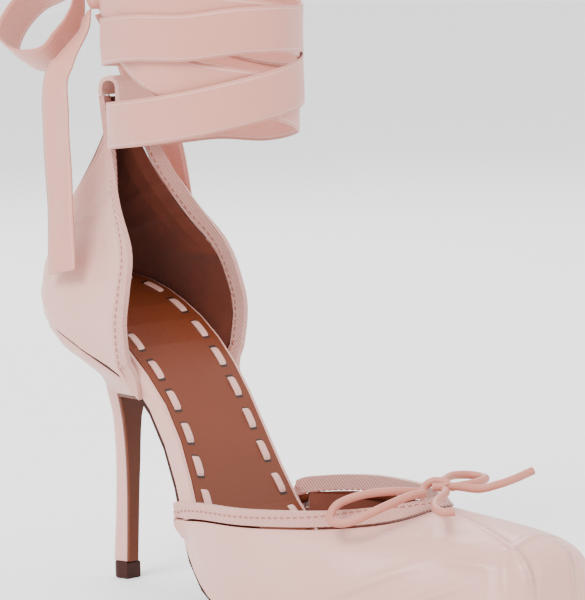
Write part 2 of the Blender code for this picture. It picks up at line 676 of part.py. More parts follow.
def vamp():
    count = 57
    rows = 13
    low = vamp_bottom(count)
    line, ways = vamp_edge(240)
    inner = line + ways * (BINDING_WIDTH + 3 * GAP)
    facing = np.cross(np.gradient(line, axis=0), -ways)
    facing /= np.linalg.norm(facing, axis=1, keepdims=True)
    pick = np.linspace(10, 229, count).astype(int)
    top = inner[pick]
    toe_rise = (TOE_HEIGHT - low[count // 2, 2]) / (top[count // 2, 2] - low[count // 2, 2])
    grid = []
    for j in range(count):
        foot = low[j]
        a = foot + UP * (BOARD_THICK + GAP)
        c = top[j]
        to_toe = np.clip((a[0] - (BACK + 0.74 * LENGTH)) / (0.22 * LENGTH), 0, 1)
        front = np.clip((a[0] - (TOE - TOE_CORNER)) / TOE_CORNER, 0, 1)
        outward = unit(np.array([0.0, a[1], 0.0])) * (1.4 - 3.6 * to_toe) - np.array([1.2 * front, 0, 0])
        corner = a + outward + UP * (c[2] - a[2]) * (0.62 + (toe_rise - 0.62) * to_toe)
        corner[1] -= a[1] * 0.20 * to_toe
        power = 2 / (2.3 + 1.6 * to_toe + 1.2 * front)
        column = [foot, (foot + a) / 2]
        for turn in np.linspace(0, math.pi / 2, rows - 2):
            s = math.sin(turn) ** power
            k = max(math.cos(turn), 0.0) ** power
            column.append(corner + (a - corner) * (1 - s) + (c - corner) * (1 - k))
        grid.append(column)
    grid[0] = along_path(inner[:11], rows)
    grid[-1] = along_path(inner[:228:-1], rows)
    ends = (along_path(facing[:11], rows), along_path(facing[:228:-1], rows))
    shell("vamp", np.array(grid).transpose(1, 0, 2), WALL, material("satin", SATIN, 0.4), ends=ends)


def vamp_binding():
    line, ways = vamp_edge(81)
    grid = np.array([line + ways * w for w in (BINDING_WIDTH, BINDING_WIDTH / 2, 0)])
    proud = BINDING_THICK - WALL
    shell("vamp_binding", grid, BINDING_THICK, material("binding", BINDING_PINK, 0.6), proud)


# The ribbon tie

def ribbon_place(turn):
    """A point of the ribbon's middle line, and the direction straight out of the ankle there."""
    a = math.radians(turn.angle)
    length = ANKLE_LENGTH / 2 + turn.layer * RIBBON_LAYER
    width = ANKLE_WIDTH / 2 + turn.layer * RIBBON_LAYER
    middle = BACK + ANKLE_BACK + ANKLE_LENGTH / 2
    place = np.array([middle + length * math.cos(a), width * math.sin(a), turn.height * TAB_TOP])
    return place, unit(np.array([math.cos(a) / length, math.sin(a) / width, 0.0]))


def strip(name, line, outs, finish, widths):
    """A flat band along a line, facing the given directions."""
    tangent = np.gradient(line, axis=0)
    grid = [[], []]
    for point, t, out, width in zip(line, tangent, outs, widths):
        across = unit(np.cross(unit(t), out))
        grid[0].append(point + across * width / 2)
        grid[1].append(point - across * width / 2)
    return shell(name, np.array(grid), RIBBON_THICK, finish, RIBBON_THICK / 2)


def ankle_ribbon():
    places = [ribbon_place(t)[0] for t in RIBBON]
    line = along_path(places, 230)
    middle = np.array([BACK + ANKLE_BACK + ANKLE_LENGTH / 2, 0, 0])
    outs = []
    for point in line:
        away = (point - middle) / np.array([ANKLE_LENGTH, ANKLE_WIDTH, 1.0]) ** 2
        away[2] = 0
        outs.append(unit(away))
    strip("ankle_ribbon", line, outs, material("ribbon", RIBBON_PINK, 0.35), [RIBBON_WIDTH] * len(line))


def knot_place():
    return np.array([BACK + ANKLE_BACK - RIBBON_LAYER * 3 - KNOT.behind, KNOT.aside, KNOT.height])


def ribbon_bow():
    """The knot behind the ankle with its two loops and two hanging ends."""
    finish = material("ribbon", RIBBON_PINK, 0.35)
    knot = knot_place()
    rings = []
    for share in np.linspace(-1, 1, 9):
        size = math.sqrt(1 - 0.55 * share * share)
        ring = []
        for angle in range(0, 360, 30):
            a = math.radians(angle)
            ring.append(knot + np.array([4.6 * size * math.cos(a), 5.6 * size * math.sin(a),
                                         RIBBON_WIDTH * 0.36 * share]))
        rings.append(np.array(ring))
    faces = [tuple(range(12)), tuple(range(96, 108))]
    for k in range(8):
        for i in range(12):
            j = (i + 1) % 12
            faces.append((k * 12 + i, k * 12 + j, k * 12 + 12 + j, k * 12 + 12 + i))
    piece("ribbon_knot", np.vstack(rings), faces, finish)
    for name, route in (("ribbon_outer_loop", LOOP_OUTER), ("ribbon_inner_loop", LOOP_INNER),
                        ("ribbon_outer_end", END_OUTER), ("ribbon_inner_end", END_INNER)):
        line = along_path([knot + np.array(p, float) for p in route], 33)
        side = 1 if "inner" in name else -1
        near_knot = np.linspace(0, 1, len(line))
        if "loop" in name:
            near_knot = 2 * np.minimum(near_knot, 1 - near_knot)
            tilt = np.array(LOOP_TILT) * (1, -side, 1)
            outs = [unit(np.cross(tilt, unit(t))) for t in np.gradient(line, axis=0)]
        else:
            outs = [np.array([-0.15, side, 0.0]) for _ in line]
        widths = RIBBON_WIDTH * (0.4 + 0.6 * np.clip(near_knot / 0.4, 0, 1))
        strip(name, line, outs, finish, widths)


# The leather bow on the vamp

def cord(name, route, count):
    """A round leather cord along a smooth path."""
    line = along_path(route, count)
    curve = bpy.data.curves.new(name, "CURVE")
    curve.dimensions = "3D"
    curve.bevel_depth = BOW_CORD / 2 * MM
    curve.bevel_resolution = 2
    curve.use_fill_caps = True
    path = curve.splines.new("POLY")
    path.points.add(count - 1)
    for point, place in zip(path.points, line):
        point.co = (*(float(c) * MM for c in place), 1)
    curve.materials.append(material("bow_leather", LEATHER_PINK, 0.5))
    made = bpy.data.objects.new(name, curve)
    bpy.context.collection.objects.link(made)


def vamp_bow():
    throat = max(VAMP_EDGE, key=lambda row: row.along)
    seat = np.array([BACK + throat.along * LENGTH + 2.0, 0.0,
                     throat.height * THROAT_HEIGHT + BOW_CORD / 2 + 1.4])
    routes = {
        "vamp_bow_knot": ((-2, -4, -0.4), (-3, -1, 1.6), (-1, 1, 3.0), (3, 2, 2.8), (5, 1, 1.4)),
        "vamp_bow_outer_loop": ((-1.5, -6.0, 0.3), (-7, -14, 1.0), (-13, -22, 0.2), (-17, -29, -2.5),
                                (-14, -35, -6.5), (-7, -33, -6.5), (-1, -24, -2.4), (2, -15, 0.2),
                                (2.5, -8, 0.4)),
        "vamp_bow_inner_loop": ((-2.4, 3.6, 2.0), (-5, 10, 1.8), (-7, 17, 2.4), (-4, 23, 2.0), (2, 23, 1.4),
                                (4, 16, 1.0), (3, 9, 0.8), (2, 6, 0.6)),
        "vamp_bow_outer_end": ((6.6, -1.8, 0.4), (10, -9, -0.6), (13, -14, -1.2), (17, -18, -2.4),
                               (21, -19, -2.8), (24, -17, -2.6)),
        "vamp_bow_inner_end": ((6.4, 3.2, 1.6), (12, 8, 0.6), (16, 12, 1.6), (19, 18, 3.2), (21, 25, 5.2)),
    }
    for name, route in routes.items():
        cord(name, [seat + np.array(p, float) for p in route], 5 + 3 * len(route))


# Assembly

def clear_scene():
    for item in list(bpy.data.objects):
        bpy.data.objects.remove(item, do_unlink=True)


clear_scene()
footbed()
insole_board()
outsole()
heel()
heel_breast()
heel_tip()
quarter()
quarter_binding("quarter_binding_outer", NEAR)
quarter_binding("quarter_binding_inner", FAR)
tab_fold()
vamp()
vamp_binding()
ankle_ribbon()
ribbon_bow()
vamp_bow()
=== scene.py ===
import math
from collections import namedtuple

import bpy
import numpy as np
from mathutils import Matrix, Vector
from mathutils.bvhtree import BVHTree


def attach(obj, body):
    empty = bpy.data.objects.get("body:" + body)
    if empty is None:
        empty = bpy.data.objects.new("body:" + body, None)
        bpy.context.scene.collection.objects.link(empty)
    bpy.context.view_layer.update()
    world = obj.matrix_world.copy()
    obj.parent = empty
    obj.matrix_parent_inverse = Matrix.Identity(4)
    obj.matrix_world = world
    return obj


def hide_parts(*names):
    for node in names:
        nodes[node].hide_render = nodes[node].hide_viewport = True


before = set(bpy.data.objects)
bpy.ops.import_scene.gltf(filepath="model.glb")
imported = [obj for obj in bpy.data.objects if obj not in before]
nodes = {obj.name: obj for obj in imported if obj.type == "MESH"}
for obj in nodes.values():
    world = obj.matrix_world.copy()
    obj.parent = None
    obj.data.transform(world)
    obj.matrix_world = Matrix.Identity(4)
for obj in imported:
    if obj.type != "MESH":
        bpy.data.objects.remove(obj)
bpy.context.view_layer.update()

# The camera: the photograph's angle from in front of the outer side, a little above the floor.
# A long lens about 1.3 m away, so the heel and the toe keep nearly the same scale.
CAMERA_AT = (0.99802, -0.9329, 0.2346)
CAMERA_AXES = ((0.7172, 0.6962, -0.0303), (-0.0482, 0.0929, 0.9945), (0.6952, -0.7118, 0.1002))
camera_data = bpy.data.cameras.new("photo_camera")
camera_data.lens = 232.93
camera_data.sensor_width = 36.0
camera_data.clip_start = 0.05
camera_data.clip_end = 50.0
camera = bpy.data.objects.new("photo_camera", camera_data)
turn = Matrix(CAMERA_AXES).transposed().to_4x4()
camera.matrix_world = Matrix.Translation(CAMERA_AT) @ turn
bpy.context.collection.objects.link(camera)
bpy.context.scene.camera = camera


# Satin: the heel cover, the rand and the tab are one dusty pink satin, glued over the forms. It has
# a soft sheen and slight changes of tone.
class Maths:
    """A shader value that sums, scales and compares as a plain expression."""

    def __init__(self, tree, socket):
        self.tree = tree
        self.socket = socket

    def op(self, kind, other=None):
        made = self.tree.nodes.new("ShaderNodeMath")
        made.operation = kind
        for place, value in enumerate((self, other)):
            if isinstance(value, Maths):
                self.tree.links.new(value.socket, made.inputs[place])
            elif value is not None:
                made.inputs[place].default_value = value
        return Maths(self.tree, made.outputs[0])

    def __add__(self, other):
        return self.op("ADD", other)

    def __mul__(self, other):
        return self.op("MULTIPLY", other)

    def __sub__(self, other):
        return self.op("SUBTRACT", other)

    __radd__ = __add__
    __rmul__ = __mul__

    def __rsub__(self, other):
        return self.op("MULTIPLY", -1.0).op("ADD", other)


class Surface:
    """One material: a Principled shader with the few nodes that vary it."""

    def __init__(self, name, colour, roughness, sheen=0.0, specular=0.5):
        self.made = bpy.data.materials.new(name)
        self.made.use_nodes = True
        self.tree = self.made.node_tree
        self.shader = self.tree.nodes["Principled BSDF"]
        self.colour = colour
        self.shader.inputs["Base Color"].default_value = (*colour, 1)
        self.shader.inputs["Roughness"].default_value = roughness
        self.shader.inputs["Sheen Weight"].default_value = sheen
        self.shader.inputs["Specular IOR Level"].default_value = specular

    def add(self, kind, settings=None, inputs=None):
        made = self.tree.nodes.new(kind)
        for key, value in (settings or {}).items():
            setattr(made, key, value)
        for key, value in (inputs or {}).items():
            if isinstance(value, Maths):
                self.tree.links.new(value.socket, made.inputs[key])
            elif hasattr(value, "is_output"):
                self.tree.links.new(value, made.inputs[key])
            else:
                made.inputs[key].default_value = value
        return made

    def place(self):
        return self.add("ShaderNodeTexCoord").outputs["Object"]

    def uv(self):
        return self.add("ShaderNodeUVMap", {"uv_map": "UVMap"}).outputs["UV"]

    def noise(self, scale, detail=2.0):
        made = self.add("ShaderNodeTexNoise", {}, {"Vector": self.place(), "Scale": scale, "Detail": detail})
        return Maths(self.tree, made.outputs["Fac"])

    def tint(self, share, other):
        """Colour runs from the surface's own to the other one as share goes from 0 to 1."""
        made = self.add("ShaderNodeMix", {"data_type": "RGBA"},
                        {0: share, 6: (*self.colour, 1), 7: (*other, 1)})
        self.tree.links.new(made.outputs[2], self.shader.inputs["Base Color"])
        return made.outputs[2]

    def bump(self, height, distance):
        made = self.add("ShaderNodeBump", {}, {"Height": height, "Distance": distance, "Strength": 1.0})
        self.tree.links.new(made.outputs["Normal"], self.shader.inputs["Normal"])

    def rough(self, value):
        self.tree.links.new(value.socket, self.shader.inputs["Roughness"])


SATIN = (0.60, 0.305, 0.255)
SATIN_LIGHT = (0.68, 0.39, 0.335)
SATIN_SHEEN = dict(sheen=0.12, specular=0.4)
satin = Surface("satin_cloth", SATIN, 0.42, **SATIN_SHEEN)
satin.tint(satin.noise(22.0, 3.0) * 0.8, SATIN_LIGHT)
satin.bump(satin.noise(900.0, 1.0) * 0.10 + satin.noise(60.0, 2.0) * 0.9, 0.0005)
satin.rough(satin.noise(30.0, 2.0) * 0.2 + 0.34)


def dress(node, surface):
    """Give a CAD node its finished material."""
    mesh = nodes[node].data
    mesh.materials.clear()
    mesh.materials.append(surface.made)


for node in ("heel", "insole_board", "tab_fold"):
    dress(node, satin)


# The quarter: the same satin outside, glued over a stiffener, with a brown suede lining inside.
# The satin pulls slightly where it is lasted round the heel.
SUEDE = (0.075, 0.0125, 0.0035)
SUEDE_RAISED = tuple(1.7 * c for c in SUEDE)
Crease = namedtuple("Crease", "centre along across length width")


def lined(name, middle, stretch):
    """Satin where the wall faces away from the shoe's inside, and suede where it faces inwards."""
    made = Surface(name, SATIN, 0.42, **SATIN_SHEEN)
    outer = made.tint(made.noise(22.0, 3.0) * 0.8, SATIN_LIGHT)
    coords = made.add("ShaderNodeTexCoord").outputs
    away = made.add("ShaderNodeVectorMath", {"operation": "SUBTRACT"}, {0: coords["Object"], 1: middle})
    away = made.add("ShaderNodeVectorMath", {"operation": "MULTIPLY"}, {0: away.outputs[0], 1: stretch})
    facing = made.add("ShaderNodeVectorMath", {"operation": "DOT_PRODUCT"},
                      {0: away.outputs[0], 1: coords["Normal"]})
    inside = Maths(made.tree, facing.outputs["Value"]).op("LESS_THAN", 0.0)
    suede = made.add("ShaderNodeMix", {"data_type": "RGBA"},
                     {0: made.noise(160.0, 4.0), 6: (*SUEDE, 1), 7: (*SUEDE_RAISED, 1)})
    both = made.add("ShaderNodeMix", {"data_type": "RGBA"}, {0: inside, 6: outer, 7: suede.outputs[2]})
    made.tree.links.new(both.outputs[2], made.shader.inputs["Base Color"])
    made.rough(inside * 0.5 + 0.32)
    return made, coords["Object"]


def ridge(surface, where, crease):
    """A soft ridge on the surface: 1 along its middle, fading over its width and length."""
    off = surface.add("ShaderNodeVectorMath", {"operation": "SUBTRACT"},
                      {0: where, 1: crease.centre}).outputs[0]
    fade = None
    for way, reach in ((crease.along, crease.length), (crease.across, crease.width)):
        way = Vector(way).normalized() / reach
        far = surface.add("ShaderNodeVectorMath", {"operation": "DOT_PRODUCT"}, {0: off, 1: way})
        square = Maths(surface.tree, far.outputs["Value"]).op("POWER", 2.0)
        fade = square if fade is None else fade + square
    return (fade * -1.0).op("EXPONENT")


QUARTER_MIDDLE = (0.03, 0.0, 0.0)
QUARTER_PULLS = (
    Crease((-0.010, -0.018, 0.128), (0.6, -0.3, 0.6), (-0.3, 0.2, 0.9), 0.012, 0.0016),
    Crease((0.008, -0.020, 0.137), (0.9, -0.1, 0.5), (-0.4, 0.0, 0.9), 0.010, 0.0014),
    Crease((-0.014, -0.010, 0.118), (0.5, -0.8, -0.2), (0.1, 0.0, 1.0), 0.010, 0.0018),
)
quarter_satin, quarter_where = lined("quarter_satin", QUARTER_MIDDLE, (1.0, 1.0, 0.0))
pulls = quarter_satin.noise(60.0, 2.0) * 0.5
for pull in QUARTER_PULLS:
    pulls = pulls + ridge(quarter_satin, quarter_where, pull) * 1.2
quarter_satin.bump(pulls, 0.0006)
dress("quarter", quarter_satin)

# The vamp: the same satin and lining, lasted over the toe. Ridges run across the toe box and back
# along the outer side, where the cloth is gathered under the sole.
VAMP_MIDDLE = (0.14, 0.0, 0.012)
VAMP_FOLDS = (
    Crease((0.192, 0.000, 0.0315), (0.1, 1.0, 0.0), (1.0, 0.0, 0.4), 0.020, 0.0016),
    Crease((0.182, -0.0225, 0.026), (1.0, 0.15, 0.1), (0.0, 0.4, 1.0), 0.009, 0.0020),
    Crease((0.170, -0.028, 0.014), (1.0, 0.1, 0.5), (-0.4, 0.0, 1.0), 0.014, 0.0018),
    Crease((0.150, -0.033, 0.018), (1.0, 0.0, 0.4), (-0.4, 0.0, 1.0), 0.016, 0.0020),
    Crease((0.195, -0.012, 0.024), (0.1, 0.1, 1.0), (0.3, 1.0, 0.0), 0.010, 0.0012),
    Crease((0.197, 0.004, 0.022), (0.0, 0.0, 1.0), (0.0, 1.0, 0.0), 0.012, 0.0012),
)
vamp_satin, vamp_where = lined("vamp_satin", VAMP_MIDDLE, (0.3, 1.0, 1.0))
folds = vamp_satin.noise(45.0, 2.0) * 0.6
for fold in VAMP_FOLDS:
    folds = folds + ridge(vamp_satin, vamp_where, fold) * 1.3
vamp_satin.bump(folds, 0.0008)
dress("vamp", vamp_satin)

# Leather and rubber: the footbed and the heel breast are smooth brown leather, the sole a dark
# brown sheet leather and the heel tip hard dark rubber.
footbed_leather = Surface("footbed_brown", (0.125, 0.026, 0.009), 0.45, specular=0.25)
footbed_leather.tint(footbed_leather.noise(45.0, 3.0) * 0.7, (0.155, 0.036, 0.014))
footbed_leather.bump(footbed_leather.noise(700.0, 2.0), 0.00012)
breast_leather = Surface("breast_brown", (0.10, 0.02, 0.0045), 0.4, specular=0.2)
breast_leather.tint(breast_leather.noise(60.0, 3.0) * 0.8, (0.13, 0.027, 0.007))
sole_leather = Surface("sole_brown", (0.03, 0.0055, 0.0015), 0.5, specular=0.2)
tip_rubber = Surface("tip_brown", (0.03, 0.0045, 0.001), 0.55, specular=0.2)
dress("footbed", footbed_leather)
dress("heel_breast", breast_leather)
dress("outsole", sole_leather)
dress("heel_tip", tip_rubber)

# The bindings: ribbed pink grosgrain, folded over the toplines of the vamp and the quarter. The
# stitches that hold them come further down.
binding = Surface("binding_grosgrain", (0.63, 0.32, 0.27), 0.6, sheen=0.2)
grosgrain = binding.add("ShaderNodeTexWave", {"wave_type": "BANDS", "bands_direction": "DIAGONAL"},
                        {"Vector": binding.place(), "Scale": 420.0, "Distortion": 0.2})
ribs = Maths(binding.tree, grosgrain.outputs["Fac"])
DEEP_PINK = (0.33, 0.115, 0.085)
binding.tint(ribs * 0.35, DEEP_PINK)
binding.bump(ribs, 0.00025)
for node in ("vamp_binding", "quarter_binding_outer", "quarter_binding_inner"):
    dress(node, binding)

# The whipstitching: a flat pink lace laced over the footbed through punched slots, a few
# millimetres inside its edge, all the way round. Each stitch is a low arch of lace.
LACE_LENGTH = 0.0078
LACE_WIDTH = 0.003
LACE_PITCH = 0.0125
LACE_RISE = 0.0007
LACE_INSET = 0.005
SLOT_RISE = 0.00012
SLOT_PAST_LACE = 0.0016
SLOT_BESIDE_LACE = 0.0002
LACED_FROM = 0.006
LACED_TO = 0.150
HEEL_MIDDLE = 0.0046
HEEL_TURN = 0.25
footbed_mesh = nodes["footbed"].data
footbed_spots = np.array([v.co[:] for v in footbed_mesh.vertices])
footbed_faces = [tuple(p.vertices) for p in footbed_mesh.polygons]
ground = BVHTree.FromPolygons([Vector(v) for v in footbed_spots], footbed_faces)


def rim(x, side):
    """The footbed's edge at one place along the shoe, on the outer (-1) or inner (1) side."""
    near = footbed_spots[np.abs(footbed_spots[:, 0] - x) < 0.0035]
    return side * float(np.max(near[:, 1] * side))


stations = np.linspace(LACED_TO, LACED_FROM, 26)
outline = {side: np.convolve(np.pad([rim(x, side) for x in stations], 2, "edge"), np.ones(5) / 5, "valid")
           for side in (1, -1)}
plan = [(x, y - LACE_INSET) for x, y in zip(stations, outline[1])]
heel_round = abs(plan[-1][1])
plan += [(HEEL_MIDDLE - heel_round * math.sin(a), heel_round * math.cos(a))
         for a in np.linspace(HEEL_TURN, math.pi - HEEL_TURN, 14)]
plan += [(x, y + LACE_INSET) for x, y in zip(stations[::-1], outline[-1][::-1])]
lace_path, lace_up = [], []
for x, y in plan:
    hit, normal, _, _ = ground.ray_cast(Vector((x, y, 0.3)), Vector((0, 0, -1)))
    if hit:
        lace_path.append(hit)
        lace_up.append(normal)


def arch(name, length, width, height, finish):
    """One low arched stitch, its ends at the surface, to be set along a path."""
    steps = 8
    mesh = bpy.data.meshes.new(name)
    verts, faces = [], []
    for k in range(steps + 1):
        share = 2 * k / steps - 1
        top = height * (1 - share ** 4)
        shoulder = top - height * 0.2
        for y, z in ((-1, shoulder), (-0.7, top), (0.7, top), (1, shoulder), (1, -height), (-1, -height)):
            verts.append((share * length / 2, y * width / 2, z))
    for k in range(steps):
        for j in range(6):
            n = (j + 1) % 6
            faces.append((k * 6 + j, k * 6 + n, k * 6 + 6 + n, k * 6 + 6 + j))
    faces += [(5, 4, 3, 2, 1, 0), tuple(range(6 * steps, 6 * steps + 6))]
    mesh.from_pydata(verts, [], faces)
    mesh.materials.append(finish.made)
    return mesh


def row_of(name, single, path, ups, pitch):
    """Set one stitch along a path at an even pitch, lying along it on the surface."""
    guide = bpy.data.meshes.new(name)
    guide.from_pydata([tuple(p) for p in path], [(k, k + 1) for k in range(len(path) - 1)], [])
    up = guide.attributes.new("up", "FLOAT_VECTOR", "POINT")
    for spot, way in zip(up.data, ups):
        spot.vector = way
    base = bpy.data.objects.new(name, guide)
    bpy.context.collection.objects.link(base)
    stitch = bpy.data.objects.new(name + "_single", single)
    bpy.context.collection.objects.link(stitch)
    tree = bpy.data.node_groups.new(name, "GeometryNodeTree")
    tree.interface.new_socket("Geometry", in_out="INPUT", socket_type="NodeSocketGeometry")
    tree.interface.new_socket("Stitch", in_out="INPUT", socket_type="NodeSocketObject")
    tree.interface.new_socket("Pitch", in_out="INPUT", socket_type="NodeSocketFloat")
    tree.interface.new_socket("Finish", in_out="INPUT", socket_type="NodeSocketMaterial")
    tree.interface.new_socket("Geometry", in_out="OUTPUT", socket_type="NodeSocketGeometry")

    def add(kind, settings=None, inputs=None):
        made = tree.nodes.new(kind)
        for key, value in (settings or {}).items():
            setattr(made, key, value)
        for key, value in (inputs or {}).items():
            if hasattr(value, "is_output"):
                tree.links.new(value, made.inputs[key])
            else:
                made.inputs[key].default_value = value
        return made.outputs

    given = add("NodeGroupInput")
    curve = add("GeometryNodeMeshToCurve", inputs={"Mesh": given["Geometry"]})
    even = add("GeometryNodeResampleCurve", {"mode": "LENGTH"}, {"Curve": curve[0], "Length": given["Pitch"]})
    lie = add("FunctionNodeAlignRotationToVector", {"axis": "X"},
              {"Vector": add("GeometryNodeInputTangent")[0]})
    way = add("GeometryNodeInputNamedAttribute", {"data_type": "FLOAT_VECTOR"}, {"Name": "up"})
    stand = add("FunctionNodeAlignRotationToVector", {"axis": "Z", "pivot_axis": "X"},
                {"Rotation": lie[0], "Vector": way["Attribute"]})
    one = add("GeometryNodeObjectInfo", inputs={"Object": given["Stitch"]})
    spread = add("GeometryNodeInstanceOnPoints", inputs={"Points": even[0], "Instance": one["Geometry"],
                                                         "Rotation": stand[0]})
    real = add("GeometryNodeRealizeInstances", inputs={"Geometry": spread[0]})
    painted = add("GeometryNodeSetMaterial", inputs={"Geometry": real[0], "Material": given["Finish"]})
    add("NodeGroupOutput", inputs={"Geometry": painted[0]})
    modifier = base.modifiers.new(name, "NODES")
    modifier.node_group = tree
    sockets = {item.name: item.identifier for item in tree.interface.items_tree if item.in_out == "INPUT"}
    modifier[sockets["Stitch"]] = stitch
    modifier[sockets["Pitch"]] = pitch
    modifier[sockets["Finish"]] = single.materials[0]
    ready = base.evaluated_get(bpy.context.evaluated_depsgraph_get())
    mesh = bpy.data.meshes.new_from_object(ready)
    base.modifiers.remove(modifier)
    base.data = mesh
    bpy.data.objects.remove(stitch)
    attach(base, "root")


# Under each stitch lies a flat near-black patch, a little larger than the stitch: painted shade in the
# punched slots where the lace goes into the footbed.
slot_shade = Surface("slot_shade", (0.02, 0.006, 0.003), 0.7)
lace_stitch = arch("lace_stitch", LACE_LENGTH, LACE_WIDTH, LACE_RISE, satin)
row_of("whipstitches", lace_stitch, lace_path, lace_up, LACE_PITCH)
slot_shade_arch = arch("slot_shade_arch", LACE_LENGTH + SLOT_PAST_LACE, LACE_WIDTH + SLOT_BESIDE_LACE, SLOT_RISE,
                 slot_shade)
row_of("whipstitch_slots", slot_shade_arch, lace_path, lace_up, LACE_PITCH)

# The floor: a plain pale matt sheet under the shoe. It reaches far past the shoe on every side.
FLOOR_TONE = (0.93, 0.93, 0.94)
FLOOR_HALF = 6.0
stage_mesh = bpy.data.meshes.new("floor")
stage_mesh.from_pydata([(x * FLOOR_HALF, y * FLOOR_HALF, 0) for x, y in ((-1, -1), (1, -1), (1, 1), (-1, 1))],
                       [], [(0, 1, 2, 3)])
floor = bpy.data.objects.new("floor", stage_mesh)
bpy.context.collection.objects.link(floor)
floor_finish = Surface("floor_white", FLOOR_TONE, 0.8, specular=0.1)
stage_mesh.materials.append(floor_finish.made)

# The light: an even white studio, with a soft key lamp above the outer side, a weak fill lamp beyond
# the toe and a rim lamp behind the heel.
SKY_STRENGTH = 1.8
world = bpy.data.worlds.new("studio")
world.use_nodes = True
world.node_tree.nodes["Background"].inputs["Color"].default_value = (1, 1, 1, 1)
world.node_tree.nodes["Background"].inputs["Strength"].default_value = SKY_STRENGTH
bpy.context.scene.world = world


def lamp(name, at, target, size, power):
    data = bpy.data.lights.new(name, "AREA")
    data.size = size
    data.energy = power
    made = bpy.data.objects.new(name, data)
    made.location = at
    made.rotation_euler = (Vector(target) - Vector(at)).to_track_quat("-Z", "Y").to_euler()
    bpy.context.collection.objects.link(made)


lamp("key", (0.2, -1.3, 1.5), (0.05, 0, 0.08), 0.9, 40)
lamp("fill", (1.6, 0.4, 0.9), (0.05, 0, 0.08), 1.4, 8)
lamp("rim", (-1.2, 0.9, 1.2), (0.0, 0, 0.1), 1.0, 16)

# The ribbon: one dusty pink satin ribbon wound above the heel tab, with a light woven line just
# inside each edge. It holds its wound form, and its bow's loops and ends hang behind the ankle.
RIBBON_WIDTH = 0.016
RIBBON_THICK = 0.0006
EDGE_LINE_AT = 0.43
EDGE_LINE_HALF = 0.014
THREADS = 9000.0
ribbon_finish = Surface("ribbon_satin", (0.56, 0.215, 0.16), 0.36, sheen=0.15, specular=0.5)
across_along = ribbon_finish.add("ShaderNodeSeparateXYZ", {}, {0: ribbon_finish.uv()}).outputs
from_middle = (Maths(ribbon_finish.tree, across_along[0]) - 0.5).op("ABSOLUTE")
edge_line = (from_middle - EDGE_LINE_AT).op("ABSOLUTE").op("LESS_THAN", EDGE_LINE_HALF)
threads = (Maths(ribbon_finish.tree, across_along[1]) * THREADS).op("SINE")
ribbon_finish.tint(edge_line * 0.7 + ribbon_finish.noise(30.0, 2.0) * 0.25, (0.72, 0.38, 0.31))
ribbon_finish.bump(threads * 0.5 + edge_line * 1.5, 0.00008)

# The ribbon's turns, point by point: the angle round the ankle in degrees, the height as a share of
# the tab's top, and how far out the layer lies in mm. The tab's top is in mm, the ankle in metres.
TAB_TOP = 172.0
ANKLE_LENGTH = 0.0718
ANKLE_WIDTH = 0.0572
ANKLE_MIDDLE = 0.047
TURNS = (
    (-536, 1.206, 8.6), (-524, 1.210, 5.4), (-512, 1.211, 2.6), (-500, 1.209, 1.0), (-485, 1.203, 1.0),
    (-465, 1.188, 1.0), (-445, 1.174, 1.0), (-420, 1.160, 1.0), (-390, 1.150, 1.0), (-360, 1.135, 1.0),
    (-330, 1.115, 1.0), (-300, 1.099, 1.0), (-270, 1.102, 1.0), (-250, 1.117, 1.0), (-230, 1.143, 1.0),
    (-210, 1.166, 0.7), (-180, 1.164, 0.1), (-140, 1.149, 0.0), (-105, 1.115, 0.0), (-83, 1.065, 0.0),
    (-60, 1.031, 0.0), (-30, 1.012, 0.0), (0, 0.999, 0.0), (30, 0.977, 0.0), (60, 0.960, 0.2),
    (90, 0.945, 0.3), (120, 0.948, 0.3), (150, 0.940, 0.2), (180, 0.938, 0.0), (210, 0.940, 0.6),
    (240, 0.947, 1.4), (270, 0.956, 2.0), (300, 0.971, 2.0), (330, 0.991, 2.0), (360, 1.010, 2.0),
    (390, 1.027, 2.0), (420, 1.045, 2.0), (450, 1.070, 2.0), (480, 1.093, 2.0), (510, 1.103, 2.0),
    (540, 1.104, 2.0), (580, 1.110, 2.0), (610, 1.118, 2.0), (630, 1.122, 2.0), (660, 1.121, 2.0),
    (690, 1.131, 2.0), (720, 1.132, 2.0), (757, 1.130, 2.0), (780, 1.147, 2.0), (810, 1.185, 2.0),
    (830, 1.216, 2.2), (850, 1.235, 3.0), (870, 1.238, 5.0), (884, 1.230, 8.0),
)


def unit(v):
    return np.array(v, float) / np.linalg.norm(v)


def along_path(points, count):
    """Evenly spaced points on a smooth curve through the given ones."""
    p = np.array(points, float)
    p = np.vstack([2 * p[0] - p[1], p, 2 * p[-1] - p[-2]])
    t = np.linspace(0, 1, 12, endpoint=False)[:, None]
    fine = [0.5 * (2 * b + (c - a) * t + (2 * a - 5 * b + 4 * c - d) * t ** 2
                   + (3 * b - a - 3 * c + d) * t ** 3)
            for a, b, c, d in zip(p, p[1:], p[2:], p[3:])]
    fine = np.vstack(fine + [p[-2:-1]])
    run = np.concatenate([[0], np.cumsum(np.linalg.norm(np.diff(fine, axis=0), axis=1))])
    places = np.linspace(0, run[-1], count)
    return np.stack([np.interp(places, run, fine[:, k]) for k in range(3)], 1)


